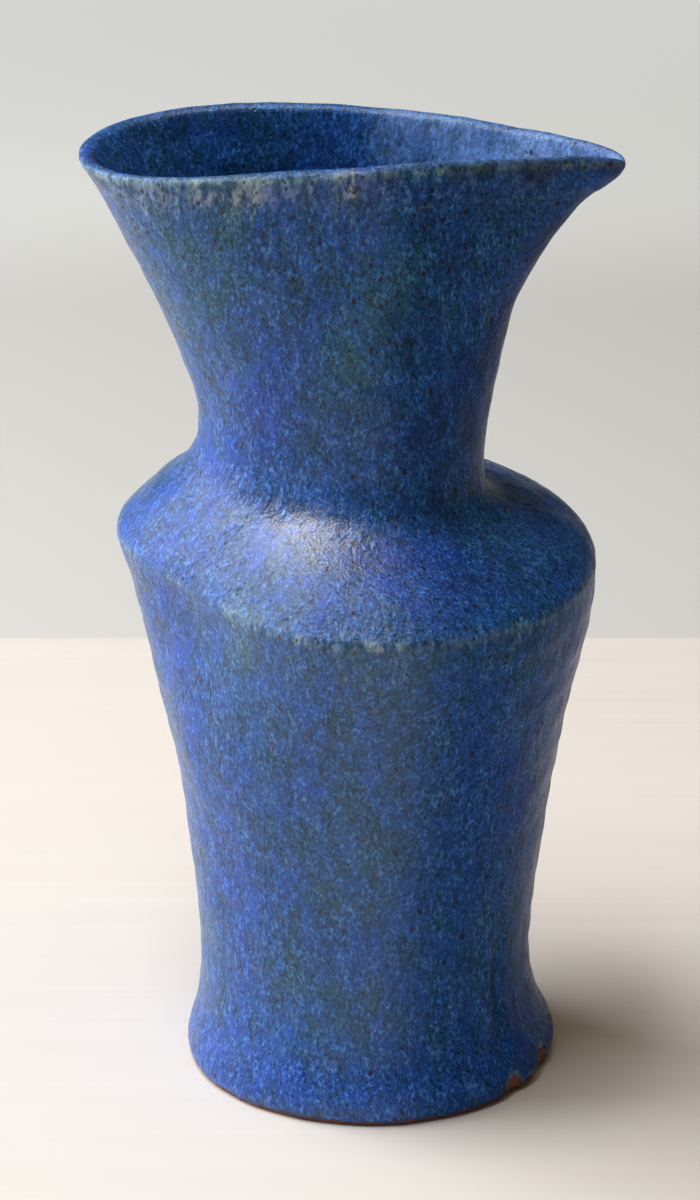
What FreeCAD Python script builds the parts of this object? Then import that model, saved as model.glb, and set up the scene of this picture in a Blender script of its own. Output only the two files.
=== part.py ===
"""Hand-built stoneware flower vase with a squeezed mouth and a pouring lip.

The vase stands on its flat foot at Z = 0, with the lip's tip towards +X. Closed loops at a few
levels are lofted into four nested forms: the face of the glaze, the face of the clay, the bore of
the clay and the bore of the glaze. Each form is made in four zones, foot, body, shoulder and
neck, which meet where the potter joined the clay. What lies between two forms is a clay section
or a coat of glaze.
"""
import FreeCAD, Part
import Sketcher
import math
import os

LOOP_POINTS = 40

# Driving dimensions, in millimetres and degrees: alias, value, meaning.
DIMENSIONS = (
    ("clay_wall", 5.6, "thickness of the clay wall"),
    ("glaze_coat", 0.7, "thickness of each coat of glaze"),
    ("bare_foot", 1.5, "bare clay left above the table"),
    ("floor_thickness", 8, "clay floor"),
    ("floor_slab_radius", 50, "disc that the floor was cut as"),
    ("body_joint", 106, "height at which the upper wall was joined to the lower wall"),
    ("neck_joint", 284, "height at which the flaring mouth was joined to the neck"),
    ("rim_coil_height", 6, "depth of the coil that makes the lip"),
    ("mouth_height", 345, "top of the lip at the middle of the front and back"),
    ("mouth_dip", 6.5, "how much lower the two ends of the mouth lie"),
    ("mouth_reach", 96, "half length of the mouth"),
    ("mouth_offset", -10, "offset along X of the highest place of the front and back lip"),
    ("belly_shift", 13, "how far the widest place of the pinched mouth lies behind its centre"),
    ("tip_softness", 0.3, "roundness of the lip's tip, 0 for a sharp one"),
    ("flat_azimuth", 218, "direction of the flattened side of the shoulder, from +X"),
    ("flat_width", 28, "half width of the flattened side"),
)

# Round loops: level, height, centre's offset along X, radius.
ROUND_LEVELS = (
    ("sole", 0, -0.5, 64.3),
    ("heel", 5.5, 0, 65.4),
    ("instep", 16, -0.5, 62.4),
    ("waist", 46, -2, 58.5),
    ("belly", 76, -1.5, 61.5),
    ("ribs", 106, -1.5, 65.5),
    ("chest", 136, -2, 71),
)

# The bore's own lowest loop, where it turns into the floor: its radius before the inset.
FLOOR_OFFSET = -0.5
FLOOR_RADIUS = 56

# Shaped loops: level, height, offset along X, reach along X, reach along Y, tilt down to +X,
# tilt down to the front, depth of the flattened side, pinch into a lip (0 to 1), and the share of
# the wall's thickness measured across level: more where it leans, less where it thins to the lip.
SHAPED_COLUMNS = ("height", "offset", "reach", "depth", "side_tilt", "front_tilt", "flat", "pinch", "share")
SHAPED_LEVELS = (
    ("underarm", 166, -3, 78.5, 78.5, 2, 1, 8, 0, 1.0),
    ("ridge", 194, -6, 85, 86, 3, 1.7, 12.5, 0, 1.15),
    ("shoulder_low", 205, -4, 76.5, 74.5, 4.5, 1, 7, 0, 1.4),
    ("shoulder_high", 211, -7.5, 66.5, 61.5, 5.5, 0.5, 3.5, 0, 1.5),
    ("junction", 218, -12.5, 52.5, 43, 6.3, 0, 0, 0, 1.3),
    ("throat", 240, -9, 49, 41, 3, 0, 0, 0, 1.0),
    ("neck_low", 262, -9.5, 54, 43, 0, 0, 0, 0.15, 1.0),
    ("neck_mid", 284, -11.5, 61, 46, 0, 0, 0, 0.39, 1.0),
    ("neck_high", 306, -11, 71.5, 48.7, 0, 0, 0, 0.64, 0.95),
    ("flare", 328, -8, 85.5, 50.3, 0, 0, 0, 0.88, 0.88),
    ("above_mouth", 350, -2.75, 107.25, 52.3, 0, 0, 0, 1, 0.82),
)

# The four nested forms, and how many coats and walls each lies inside the face of the glaze.
LAYERS = (
    ("glaze_face", 0, 0),
    ("clay_face", 1, 0),
    ("clay_bore", 1, 1),
    ("glaze_bore", 2, 1),
)
ZONES = ("foot", "body", "shoulder", "neck")
ZONE_ENDS = ("instep", "ridge", "junction", "above_mouth")

doc = FreeCAD.newDocument("flower_vase")
sheet = doc.addObject("Spreadsheet::Sheet", "Dimensions")


def fill_sheet():
    """Writes every driving dimension on a row of its own: note, value and alias."""
    rows = list(DIMENSIONS)
    for level, height, offset, radius in ROUND_LEVELS:
        rows.append((f"{level}_height", height, f"height of the {level} loop"))
        rows.append((f"{level}_offset", offset, f"offset of the {level} loop"))
        rows.append((f"{level}_radius", radius, f"radius of the {level} loop"))
    rows.append(("floor_offset", FLOOR_OFFSET, "offset of the floor loop"))
    rows.append(("floor_radius", FLOOR_RADIUS, "radius of the floor loop before its inset"))
    for level, *values in SHAPED_LEVELS:
        for column, value in zip(SHAPED_COLUMNS, values):
            rows.append((f"{level}_{column}", value, f"{column} of the {level} loop"))
    for layer, coats, walls in LAYERS:
        rows.append((f"{layer}_coats", coats, f"coats of glaze outside the {layer}"))
        rows.append((f"{layer}_walls", walls, f"clay walls outside the {layer}"))
    for row, (alias, value, note) in enumerate(rows, start=1):
        sheet.set(f"A{row}", note)
        sheet.set(f"B{row}", str(value))
        sheet.setAlias(f"B{row}", alias)
    doc.recompute()


def size(alias):
    return float(sheet.get(alias))


def inset_expression(layer):
    """How far a layer lies inside the face of the glaze, as an expression on the sheet."""
    coats = f"Dimensions.{layer}_coats * Dimensions.glaze_coat"
    return f"({coats} + Dimensions.{layer}_walls * Dimensions.clay_wall)"


def layer_inset(layer):
    return size(f"{layer}_coats") * size("glaze_coat") + size(f"{layer}_walls") * size("clay_wall")


def round_loop(layer, level, height):
    """A level circle whose radius is the face's radius less the layer's inset."""
    loop = doc.addObject("Part::Circle", f"{layer}_{level}")
    loop.setExpression("Radius", f"Dimensions.{level}_radius - {inset_expression(layer)}")
    loop.setExpression("Placement.Base.x", f"Dimensions.{level}_offset")
    loop.setExpression("Placement.Base.z", height)
    return loop


def shaped_point(level, inset, angle):
    """A point of a tilted oval, flattened on one side or pinched into a lip at angle 0."""
    pinch = size(f"{level}_pinch")
    softness = size("tip_softness") ** 2
    narrowing = ((math.sin(angle / 2) ** 2 + softness) / (1 + softness)) ** (pinch / 2)
    away = math.remainder(angle - math.radians(size("flat_azimuth")), 2 * math.pi)
    flat = size(f"{level}_flat") * math.exp(-((away / math.radians(size("flat_width"))) ** 2))
    reach = size(f"{level}_reach") - flat - inset
    depth = (size(f"{level}_depth") - flat) * narrowing - inset
    shift = size("belly_shift") * pinch ** 2
    x = size(f"{level}_offset") + reach * math.cos(angle) - shift * math.sin(angle) ** 2
    y = depth * math.sin(angle)
    rise = y * math.tan(math.radians(size(f"{level}_front_tilt")))
    drop = x * math.tan(math.radians(size(f"{level}_side_tilt")))
    return FreeCAD.Vector(x, y, size(f"{level}_height") + rise - drop)


def shaped_loop(layer, level):
    """A smooth closed curve through the points of a shaped level."""
    inset = layer_inset(layer) * size(f"{level}_share")
    angles = [2 * math.pi * step / LOOP_POINTS for step in range(LOOP_POINTS)]
    curve = Part.BSplineCurve()
    curve.interpolate(Points=[shaped_point(level, inset, angle) for angle in angles], PeriodicFlag=True)
    loop = doc.addObject("Part::Feature", f"{layer}_{level}")
    loop.Shape = Part.Wire([curve.toShape()])
    return loop


def layer_loops(layer):
    """One layer's loops from the bottom up. A bore starts at the floor, above sole and heel."""
    loops = []
    round_levels = ROUND_LEVELS
    if size(f"{layer}_walls") > 0:
        coat_on_floor = f"(Dimensions.{layer}_coats - 1) * Dimensions.glaze_coat"
        loops.append(round_loop(layer, "floor", f"Dimensions.floor_thickness + {coat_on_floor}"))
        round_levels = ROUND_LEVELS[2:]
    for level, *_ in round_levels:
        loops.append(round_loop(layer, level, f"Dimensions.{level}_height"))
    for level, *_ in SHAPED_LEVELS:
        loops.append(shaped_loop(layer, level))
    return loops


def zone_lofts(layer):
    """The four zones of one layer, each lofted from the end of the one below it."""
    loops = layer_loops(layer)
    names = [loop.Name for loop in loops]
    zones = {}
    first = 0
    for zone, end in zip(ZONES, ZONE_ENDS):
        last = names.index(f"{layer}_{end}")
        form = doc.addObject("Part::Loft", f"{layer}_{zone}_zone")
        form.Sections = loops[first:last + 1]
        form.Solid = True
        form.Ruled = False
        zones[zone] = form
        first = last
    return zones


def fuse(name, shapes):
    form = doc.addObject("Part::MultiFuse", name)
    form.Shapes = list(shapes)
    return form


def common(name, base, tool):
    form = doc.addObject("Part::Common", name)
    form.Base = base
    form.Tool = tool
    return form


def cut(name, base, tool):
    form = doc.addObject("Part::Cut", name)
    form.Base = base
    form.Tool = tool
    return form


def saddle(name, below):
    """A wide cylinder lying along Y, whose top is the dipping line of the mouth."""
    form = doc.addObject("Part::Cylinder", name)
    arc = "(Dimensions.mouth_reach ^ 2 + Dimensions.mouth_dip ^ 2) / (2 * Dimensions.mouth_dip)"
    form.setExpression("Radius", f"{arc} - {below}")
    form.setExpression("Height", "2 * Dimensions.mouth_reach")
    form.Placement.Rotation = FreeCAD.Rotation(FreeCAD.Vector(1, 0, 0), 90)
    form.setExpression("Placement.Base.x", "Dimensions.mouth_offset")
    form.setExpression("Placement.Base.y", "Dimensions.mouth_reach")
    form.setExpression("Placement.Base.z", f"Dimensions.mouth_height - {arc}")
    return form


def base_slab():
    """The clay disc that the floor was cut as, flat and unglazed underneath."""
    body = doc.addObject("PartDesign::Body", "base_slab")
    sketch = body.newObject("Sketcher::SketchObject", "slab_outline")
    ground = [plane for plane in body.Origin.OriginFeatures if plane.Role == "XY_Plane"][0]
    sketch.AttachmentSupport = (ground, [""])
    sketch.MapMode = "FlatFace"
    up = FreeCAD.Vector(0, 0, 1)
    circle = sketch.addGeometry(Part.Circle(FreeCAD.Vector(0, 0, 0), up, size("floor_slab_radius")), False)
    sketch.addConstraint(Sketcher.Constraint("Coincident", circle, 3, -1, 1))
    radius = sketch.addConstraint(Sketcher.Constraint("Radius", circle, size("floor_slab_radius")))
    sketch.setExpression(f"Constraints[{radius}]", "Dimensions.floor_slab_radius")
    pad = body.newObject("PartDesign::Pad", "slab")
    pad.Profile = sketch
    pad.setExpression("Length", "Dimensions.floor_thickness")
    return body


def block_up_to(alias):
    """Everything from the table up to a stated height."""
    block = doc.addObject("Part::Cylinder", f"up_to_{alias}")
    block.setExpression("Radius", "2 * Dimensions.heel_radius")
    block.setExpression("Height", f"Dimensions.{alias}")
    return block


def clay_sections(face, bore, slab):
    """The clay wall, divided where the coils and sections were joined."""
    rings = {zone: cut(f"{zone}_ring", face[zone], bore[zone]) for zone in ZONES}
    below_body_joint = block_up_to("body_joint")
    below_neck_joint = block_up_to("neck_joint")
    coil_seat = saddle("coil_seat", "(Dimensions.glaze_coat + Dimensions.rim_coil_height)")
    neck_section = common("neck_section", rings["neck"], coil_seat)
    rim_section = cut("rim_section", rings["neck"], coil_seat)
    return {
        "foot_coil": cut("foot_coil", rings["foot"], slab),
        "lower_wall": common("lower_wall", rings["body"], below_body_joint),
        "upper_wall": cut("upper_wall", rings["body"], below_body_joint),
        "shoulder_wall": rings["shoulder"],
        "neck_wall": common("neck_wall", neck_section, below_neck_joint),
        "mouth_wall": cut("mouth_wall", neck_section, below_neck_joint),
        "rim_coil": common("rim_coil", rim_section, saddle("clay_top", "Dimensions.glaze_coat")),
    }


def outer_glaze(skin, face, bore):
    """The glass outside and over the lip, which stops short of the table."""
    wall_coats = [cut(f"{zone}_coat", skin[zone], face[zone]) for zone in ZONES[:-1]]
    neck_clay = common("neck_clay", face["neck"], saddle("clay_lip", "Dimensions.glaze_coat"))
    neck_skin = common("neck_skin", skin["neck"], saddle("skin_lip", "0"))
    neck_coat = cut("neck_coat", cut("neck_cap", neck_skin, neck_clay), bore["neck"])
    coat = fuse("whole_coat", wall_coats + [neck_coat])
    return cut("outer_glaze", coat, block_up_to("bare_foot"))


def inner_glaze(bore, hollow):
    """The glass inside, from the floor up to the lip."""
    wall_linings = [cut(f"{zone}_lining", bore[zone], hollow[zone]) for zone in ZONES[:-1]]
    neck_bore = common("neck_bore", bore["neck"], saddle("bore_lip", "0"))
    neck_lining = cut("neck_lining", neck_bore, hollow["neck"])
    return fuse("inner_glaze", wall_linings + [neck_lining])


def check_document(nodes):
    """Stops if anything failed to build or a sub-part isn't one sound solid."""
    for thing in doc.Objects:
        if "Invalid" in thing.State or "Error" in thing.State:
            raise RuntimeError(f"{thing.Name} failed: {thing.State}")
    for name, node in nodes.items():
        if node.Shape.isNull() or not node.Shape.isValid() or len(node.Shape.Solids) != 1:
            raise RuntimeError(f"{name} isn't one valid solid")


def export_nodes(nodes):
    os.makedirs("parts", exist_ok=True)
    for name, node in nodes.items():
        node.Shape.exportStep(f"parts/{name}.step")
        print(f"{name}: {node.Shape.Volume / 1000:.1f} cm3")


fill_sheet()
forms = {layer: zone_lofts(layer) for layer, _, _ in LAYERS}
slab = base_slab()
nodes = {"base_slab": slab}
nodes.update(clay_sections(forms["clay_face"], forms["clay_bore"], slab))
nodes["outer_glaze"] = outer_glaze(forms["glaze_face"], forms["clay_face"], forms["clay_bore"])
nodes["inner_glaze"] = inner_glaze(forms["clay_bore"], forms["glaze_bore"])
for name, node in nodes.items():
    node.Label = name
doc.recompute()
check_document(nodes)
export_nodes(nodes)
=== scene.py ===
"""Looks of the hand-built flower vase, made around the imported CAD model.

The pot's skin is read from the CAD model by casting rays at its two glaze nodes. It is held as
one grid of points. The rows run up the outside, over the lip, down the inside and across the
floor to its middle. The columns run round the pot from the tip of the lip. The potter's marks
are added to that grid, and every piece is cut from it.
"""
import math

import bpy
import numpy as np
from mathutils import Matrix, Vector, noise
from mathutils.bvhtree import BVHTree


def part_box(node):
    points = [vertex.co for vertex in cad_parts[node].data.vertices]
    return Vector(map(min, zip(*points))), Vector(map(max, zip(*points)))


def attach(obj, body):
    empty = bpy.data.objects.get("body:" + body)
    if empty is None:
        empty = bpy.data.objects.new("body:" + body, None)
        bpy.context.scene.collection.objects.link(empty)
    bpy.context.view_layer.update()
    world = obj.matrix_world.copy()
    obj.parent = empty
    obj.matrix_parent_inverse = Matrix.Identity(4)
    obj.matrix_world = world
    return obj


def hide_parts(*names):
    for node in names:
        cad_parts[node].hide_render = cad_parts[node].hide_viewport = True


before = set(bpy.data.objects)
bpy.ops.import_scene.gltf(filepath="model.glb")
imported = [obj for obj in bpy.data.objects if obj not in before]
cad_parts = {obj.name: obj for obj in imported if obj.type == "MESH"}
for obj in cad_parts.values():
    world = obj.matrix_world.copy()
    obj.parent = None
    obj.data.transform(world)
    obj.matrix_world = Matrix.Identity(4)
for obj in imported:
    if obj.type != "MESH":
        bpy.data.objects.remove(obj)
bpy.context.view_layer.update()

MM = 0.001

# How finely the skin is read and held: rays and points in a loop, and waves round the pot kept.
RAYS = 210
COLUMNS = 420
FINEST_WAVE = 60

# Rows of the grid in each zone; zones share the row where they meet.
FOOT_ROWS = 16
BODY_ROWS = 124
SHOULDER_ROWS = 37
NECK_ROWS = 96
INNER_NECK_ROWS = 62
INNER_SHOULDER_ROWS = 20
INNER_BODY_ROWS = 44

# Sizes of the making, in metres: the coat of glaze, the rounding of the lip, the piece of glaze
# over it, the rim's coil, the bend into the floor, and how the point of the lip is rounded off.
COAT = 0.7 * MM
LIP_DEPTH = 2.8 * MM
LIP_BAND = 9 * MM
RIM_COIL = 6.0 * MM
FLOOR_BEND = 8 * MM
TIP_REACH = 18 * MM
TIP_DROP = 3.2 * MM

# The photograph's view, in metres and in degrees below the level, and the table's back edge.
CAMERA_PLACE = (-0.0072, -2.1505, 1.0774)
CAMERA_TILT = 22.8
TABLE_BACK = 0.37


# ---------------------------------------------------------------- reading the CAD model

def mesh_points(node):
    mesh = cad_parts[node].data
    flat = np.empty(len(mesh.vertices) * 3)
    mesh.vertices.foreach_get("co", flat)
    return flat.reshape(-1, 3)


def surface_tree(*nodes):
    """The faces of some CAD nodes, ready for rays."""
    points = []
    faces = []
    for node in nodes:
        first = len(points)
        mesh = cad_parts[node].data
        points += [vertex.co.copy() for vertex in mesh.vertices]
        faces += [[first + corner for corner in face.vertices] for face in mesh.polygons]
    return BVHTree.FromPolygons(points, faces)


def top_line(node):
    """Fits z = a + b x + c y + d x^2 to the top of a ring, and returns it as a function."""
    points = mesh_points(node)
    sectors = 36
    turns = np.arctan2(points[:, 1], points[:, 0]) / (2 * np.pi) % 1
    sector = (turns * sectors).astype(int) % sectors
    tops = []
    for number in range(sectors):
        inside = points[sector == number]
        tops.append(inside[inside[:, 2].argmax()])
    tops = np.array(tops)
    terms = np.column_stack([np.ones(sectors), tops[:, 0], tops[:, 1], tops[:, 0] ** 2])
    a, b, c, d = np.linalg.lstsq(terms, tops[:, 2], rcond=None)[0]
    return lambda x, y: a + b * x + c * y + d * x ** 2


def between(low, high, share):
    """The line that lies at a share of the way from one line up to another."""
    return lambda x, y: (1 - share) * low(x, y) + share * high(x, y)


def lowered(line, drop):
    return lambda x, y: line(x, y) - drop


def level(height):
    return lambda x, y: height + 0 * x


# A loop's height depends on where its points lie, so each point is found in a few tries. They
# start this far from the axis, and move out by a step where a ray passes over the skin.
CAST_TRIES = 12
FIRST_GUESS = 50 * MM
MISS_STEP = 8 * MM
FAR_OUTSIDE = 300 * MM


def cast_loop(tree, turns, line, outside):
    """Where rays across the axis meet a skin on a line: from far outside, or from the axis out."""
    points = []
    for turn in turns:
        heading = Vector((math.cos(turn), math.sin(turn), 0))
        spot = AXIS + heading * FIRST_GUESS
        found = None
        for _ in range(CAST_TRIES):
            middle = Vector((AXIS.x, AXIS.y, line(spot.x, spot.y)))
            if outside:
                found = tree.ray_cast(middle + heading * FAR_OUTSIDE, -heading)[0]
            else:
                found = tree.ray_cast(middle, heading)[0]
            if found is None:
                spot = spot + heading * MISS_STEP
            elif (found - spot).length < 0.02 * MM:
                break
            else:
                spot = found
        if found is None:
            raise RuntimeError(f"no skin at height {middle.z:.4f}, direction {turn:.2f}")
        points.append(found)
    return np.array(points)


def evened_turns(loop):
    """Directions that spread the columns of a loop by its length and by how much it turns."""
    steps = np.roll(loop, -1, axis=0) - loop
    lengths = np.linalg.norm(steps[:, :2], axis=1)
    headings = np.arctan2(steps[:, 1], steps[:, 0])
    bends = np.abs((np.roll(headings, -1) - headings + np.pi) % (2 * np.pi) - np.pi)
    for _ in range(12):
        bends = (np.roll(bends, 1) + 2 * bends + np.roll(bends, -1)) / 4
    share = lengths / lengths.sum() + 0.8 * bends / bends.sum()
    share = (share + share[::-1]) / 2
    travelled = np.concatenate([[0], np.cumsum(share)]) / share.sum() * 2 * np.pi
    turns = np.linspace(0, 2 * np.pi, len(loop) + 1)
    return np.interp(np.linspace(0, 2 * np.pi, RAYS, endpoint=False), travelled, turns)


def smoothed_round(loop):
    """Takes the CAD model's facets out of a loop, and gives it one point a column."""
    waves = np.fft.rfft(loop, axis=0)
    waves *= np.exp(-((np.arange(len(waves)) / FINEST_WAVE) ** 2))[:, None]
    return np.fft.irfft(waves, COLUMNS, axis=0) * COLUMNS / RAYS


def smoothed_along(rows, passes, weight=0.5):
    """Evens the rows out along the profile; the first and last stay where they are."""
    rows = rows.copy()
    for _ in range(passes):
        rows[1:-1] += weight * ((rows[:-2] + rows[2:]) / 2 - rows[1:-1])
    return rows


def smoothstep(value, low, high):
    """0 at low, 1 at high, and a smooth rise between them."""
    share = np.clip((value - low) / (high - low), 0, 1)
    return share * share * (3 - 2 * share)


AXIS_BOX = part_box("shoulder_wall")
AXIS = Vector(((AXIS_BOX[0].x + AXIS_BOX[1].x) / 2, 0, 0))
OUTER_TREE = surface_tree("outer_glaze")
INNER_TREE = surface_tree("inner_glaze")
FOOT_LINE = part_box("outer_glaze")[0].z
FLOOR_TOP = INNER_TREE.ray_cast(Vector((AXIS.x, 0, 0.1)), Vector((0, 0, -1)))[0].z
ridge_line = top_line("upper_wall")
junction_line = top_line("shoulder_wall")
instep_line = top_line("foot_coil")
lip_line = top_line("outer_glaze")
lip_start = lowered(lip_line, LIP_DEPTH)
PLAIN_TURNS = np.linspace(0, 2 * np.pi, RAYS, endpoint=False)
MOUTH_TURNS = evened_turns(
    cast_loop(OUTER_TREE, np.linspace(0, 2 * np.pi, 720, endpoint=False), lip_start, True))


def zone_rows(tree, low, high, shares, outside, mouth):
    """Loops between two lines. mouth gives how far each follows the mouth's own directions."""
    rows = []
    for share, follow in zip(shares, mouth):
        turns = (1 - follow) * PLAIN_TURNS + follow * MOUTH_TURNS
        rows.append(smoothed_round(cast_loop(tree, turns, between(low, high, share), outside)))
    return np.array(rows)


def outside_rows():
    """The outside from the foot line up to where the lip begins to round over."""
    start = level(FOOT_LINE + 0.15 * MM)
    foot_end = 0.035
    foot_shares = np.linspace(0, foot_end, FOOT_ROWS, endpoint=False)
    shares = np.concatenate([foot_shares, np.linspace(foot_end, 1, BODY_ROWS)])
    body = zone_rows(OUTER_TREE, start, ridge_line, shares, True, 0 * shares)
    shares = np.linspace(0, 1, SHOULDER_ROWS)
    shoulder = zone_rows(OUTER_TREE, ridge_line, junction_line, shares, True, 0 * shares)
    shares = np.linspace(0, 1, NECK_ROWS)
    follow = smoothstep(shares, 0, 0.9)
    neck = zone_rows(OUTER_TREE, junction_line, lip_start, shares, True, follow)
    upper = smoothed_along(np.concatenate([shoulder, neck[1:]]), 8)
    return smoothed_along(body, 8), upper[:len(shoulder)], upper[len(shoulder) - 1:]


def inside_rows():
    """The inside from the lip down to the middle of the floor."""
    shares = np.linspace(1, 0, INNER_NECK_ROWS)
    follow = smoothstep(shares, 0, 0.9)
    neck = zone_rows(INNER_TREE, junction_line, lip_start, shares, False, follow)
    shares = np.linspace(1, 0, INNER_SHOULDER_ROWS)
    shoulder = zone_rows(INNER_TREE, ridge_line, junction_line, shares, False, 0 * shares)
    shares = np.linspace(1, 0, INNER_BODY_ROWS)
    bend_top = level(FLOOR_TOP + FLOOR_BEND)
    body = zone_rows(INNER_TREE, bend_top, ridge_line, shares, False, 0 * shares)
    wall = smoothed_along(np.concatenate([neck, shoulder[1:], body[1:]]), 8)
    corner = []
    hub = np.array([AXIS.x, 0, FLOOR_TOP])
    radial = wall[-1] - hub
    radial[:, 2] = 0
    radius = np.linalg.norm(radial, axis=1, keepdims=True)
    for angle in np.linspace(0, math.pi / 2, 9)[1:]:
        inward = 1 - FLOOR_BEND * (1 - math.cos(angle)) / radius
        drop = np.array([0, 0, FLOOR_BEND * (1 - math.sin(angle))])
        corner.append(hub + radial * inward + drop)
    across = corner[-1] - hub
    rings = [hub + across * share for share in np.linspace(1, 0, 16)[1:-1]]
    return wall, np.array(corner + rings)


def lip_rows(outer, inner):
    """The rounded lip over the two walls, which keeps their lean."""
    outer_edge = outer[-1]
    inner_edge = inner[0]
    lean = (outer_edge - outer[-4] + inner_edge - inner[3]) / 2
    lean = lean / lean[:, 2:3]
    rows = []
    for angle in np.linspace(0, math.pi, 15)[1:-1]:
        rise = LIP_DEPTH * math.sin(angle) ** 0.85
        across = (outer_edge - inner_edge) / 2 * math.cos(angle)
        rows.append((outer_edge + inner_edge) / 2 + across + lean * rise)
    return np.array(rows)


def normals_of(rows):
    """Unit normals of the grid, out of the clay."""
    round_pot = np.roll(rows, -1, axis=1) - np.roll(rows, 1, axis=1)
    along = np.gradient(rows, axis=0)
    across = np.cross(round_pot, along)
    return across / np.maximum(np.linalg.norm(across, axis=2, keepdims=True), 1e-12)


# ---------------------------------------------------------------- the potter's marks

def lumps(points, size, shift=0.0, stretch=(1, 1, 1)):
    """Smooth noise from about -1 to 1 at every point of the grid; its lumps are size across."""
    scaled = points / (np.array(stretch) * size) + shift
    flat = [noise.noise(Vector(point)) for point in scaled.reshape(-1, 3)]
    return np.array(flat).reshape(points.shape[:-1])


def away(azimuth, centre):
    """Signed angle in degrees from a direction."""
    return (azimuth - centre + 180) % 360 - 180


def directions(row, middle=0.0):
    """The direction in degrees of each point of a row, seen from a point of the X axis."""
    return np.degrees(np.arctan2(row[:, 1], row[:, 0] - middle))


def patch(azimuth, height, centre, at_height, half_width, half_height, lean=0.0):
    """A soft patch on the wall, 1 in its middle. lean tips it: millimetres up for each degree."""
    sideways = away(azimuth, centre)
    up = height - at_height - lean * sideways
    return np.exp(-((sideways / half_width) ** 2) - (up / half_height) ** 2)


class Place:
    """Where each point of the grid lies on the pot, in millimetres and degrees.

    right and left are 1 on those sides of the pot and 0 elsewhere.
    """

    def __init__(self, points):
        x, y, z = points[..., 0], points[..., 1], points[..., 2]
        self.points = points
        self.azimuth = np.degrees(np.arctan2(y, x - AXIS.x))
        self.height = z / MM
        self.below_lip = (lip_line(x, y) - z) / MM
        self.over_ridge = (z - ridge_line(x, y)) / MM
        self.over_junction = (z - junction_line(x, y)) / MM
        self.right = smoothstep(np.cos(np.radians(self.azimuth)), 0.0, 0.5)
        self.left = smoothstep(-np.cos(np.radians(self.azimuth)), 0.0, 0.5)


# The marks of the hand: direction, height, half width, half height, lean and depth in millimetres.
DENTS = (
    (-36, 34, 2.6, 20, 0.0, -1.6),
    (-46, 60, 9, 30, 0.3, -0.5),
    (-150, 262, 12, 16, 0.6, -0.8),
    (-118, 228, 14, 9, 0.2, -0.6),
    (-172, 120, 16, 36, 0.0, -0.7),
    (-68, 300, 14, 18, -0.3, -0.4),
    (60, 120, 18, 30, 0.2, -0.8),
    (120, 270, 16, 20, 0.1, -0.6),
    (-96, 326, 5, 4, 0.0, -0.5),
)


def outside_relief(place):
    """Height of the hand's marks over the smooth form, in metres.

    Each lumps line has a height in millimetres, the lumps' size, and a shift into the noise.
    """
    points = place.points
    relief = 0.60 * lumps(points, 62 * MM, 3.1)
    relief += 0.40 * lumps(points, 20 * MM, 7.7, (1, 1, 5))
    relief += 0.34 * lumps(points, 17 * MM, 1.9)
    relief += 0.20 * lumps(points, 7 * MM, 5.3)
    relief += 0.08 * lumps(points, 3.2 * MM, 9.4)
    drift = 4.0 * lumps(points, 80 * MM, 2.2)
    rings = np.sin((place.height + drift) * 2 * np.pi / 12.5)
    relief += 0.09 * rings * smoothstep(place.over_junction, 60, 10)
    for centre, at_height, half_width, half_height, lean, depth in DENTS:
        relief += depth * patch(
            place.azimuth, place.height, centre, at_height, half_width, half_height, lean)
    wander = 1.5 * lumps(points, 14 * MM, 6.0)
    ledge = smoothstep(place.below_lip + wander, 15.5, 13.0) * smoothstep(place.below_lip, 3, 6)
    relief += 0.5 * ledge * place.right
    bead = np.exp(-(((place.height - FOOT_LINE / MM) - 3.5) / 3.0) ** 2)
    relief += 0.25 * bead
    return relief * MM


def inside_relief(place):
    """Height of the marks on the inside, where the fingers drew the wall up, in metres."""
    points = place.points
    relief = 0.45 * lumps(points, 50 * MM, 4.4)
    relief += 0.2 * lumps(points, 16 * MM, 8.8)
    relief += 0.07 * lumps(points, 6 * MM, 0.7)
    drift = 3.0 * lumps(points, 70 * MM, 5.1)
    rings = np.sin((place.height + drift) * 2 * np.pi / 14)
    relief += 0.16 * rings * smoothstep(place.below_lip, 4, 20)
    return relief * MM


# Chips at the foot: direction, half width in degrees, height and depth in millimetres.
CHIPS = (
    (-36.0, 4.2, 6.2, 1.0),
    (-18.5, 5.0, 8.4, 1.1),
    (-27, 3.2, 2.6, 0.5),
    (150, 3.5, 2.0, 0.6),
)


def chip_shape(azimuth, column):
    """How far each chip reaches at each direction; column 2 gives heights, column 3 depths."""
    total = 0 * azimuth
    for chip in CHIPS:
        total = np.maximum(total, chip[column] * np.exp(-((away(azimuth, chip[0]) / chip[1]) ** 4)))
    return total


# ---------------------------------------------------------------- the grid

body, shoulder, neck = outside_rows()
inner_wall, inner_floor = inside_rows()
lip = lip_rows(neck, inner_wall)

# The rows where the zones meet; wall_end lies just above the bend into the floor.
ROW = {"foot": 0, "ridge": len(body) - 1}
ROW["junction"] = ROW["ridge"] + SHOULDER_ROWS - 1
ROW["lip_out"] = ROW["junction"] + NECK_ROWS - 1
ROW["lip_in"] = ROW["lip_out"] + len(lip) + 1
ROW["inner_junction"] = ROW["lip_in"] + INNER_NECK_ROWS - 1
ROW["inner_ridge"] = ROW["inner_junction"] + INNER_SHOULDER_ROWS - 1
ROW["inner_end"] = ROW["lip_in"] + len(inner_wall) + len(inner_floor) - 1
ROW["wall_end"] = ROW["inner_end"] - 24
smooth_grid = np.concatenate([body, shoulder[1:], neck[1:], lip, inner_wall, inner_floor])


def soften(grid, middle, span, passes, weight):
    """Evens out the rows on both sides of one, by a weight for each column."""
    rows = slice(middle - span, middle + span + 1)
    grid[rows] = smoothed_along(grid[rows], passes, weight[:, None])


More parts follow.
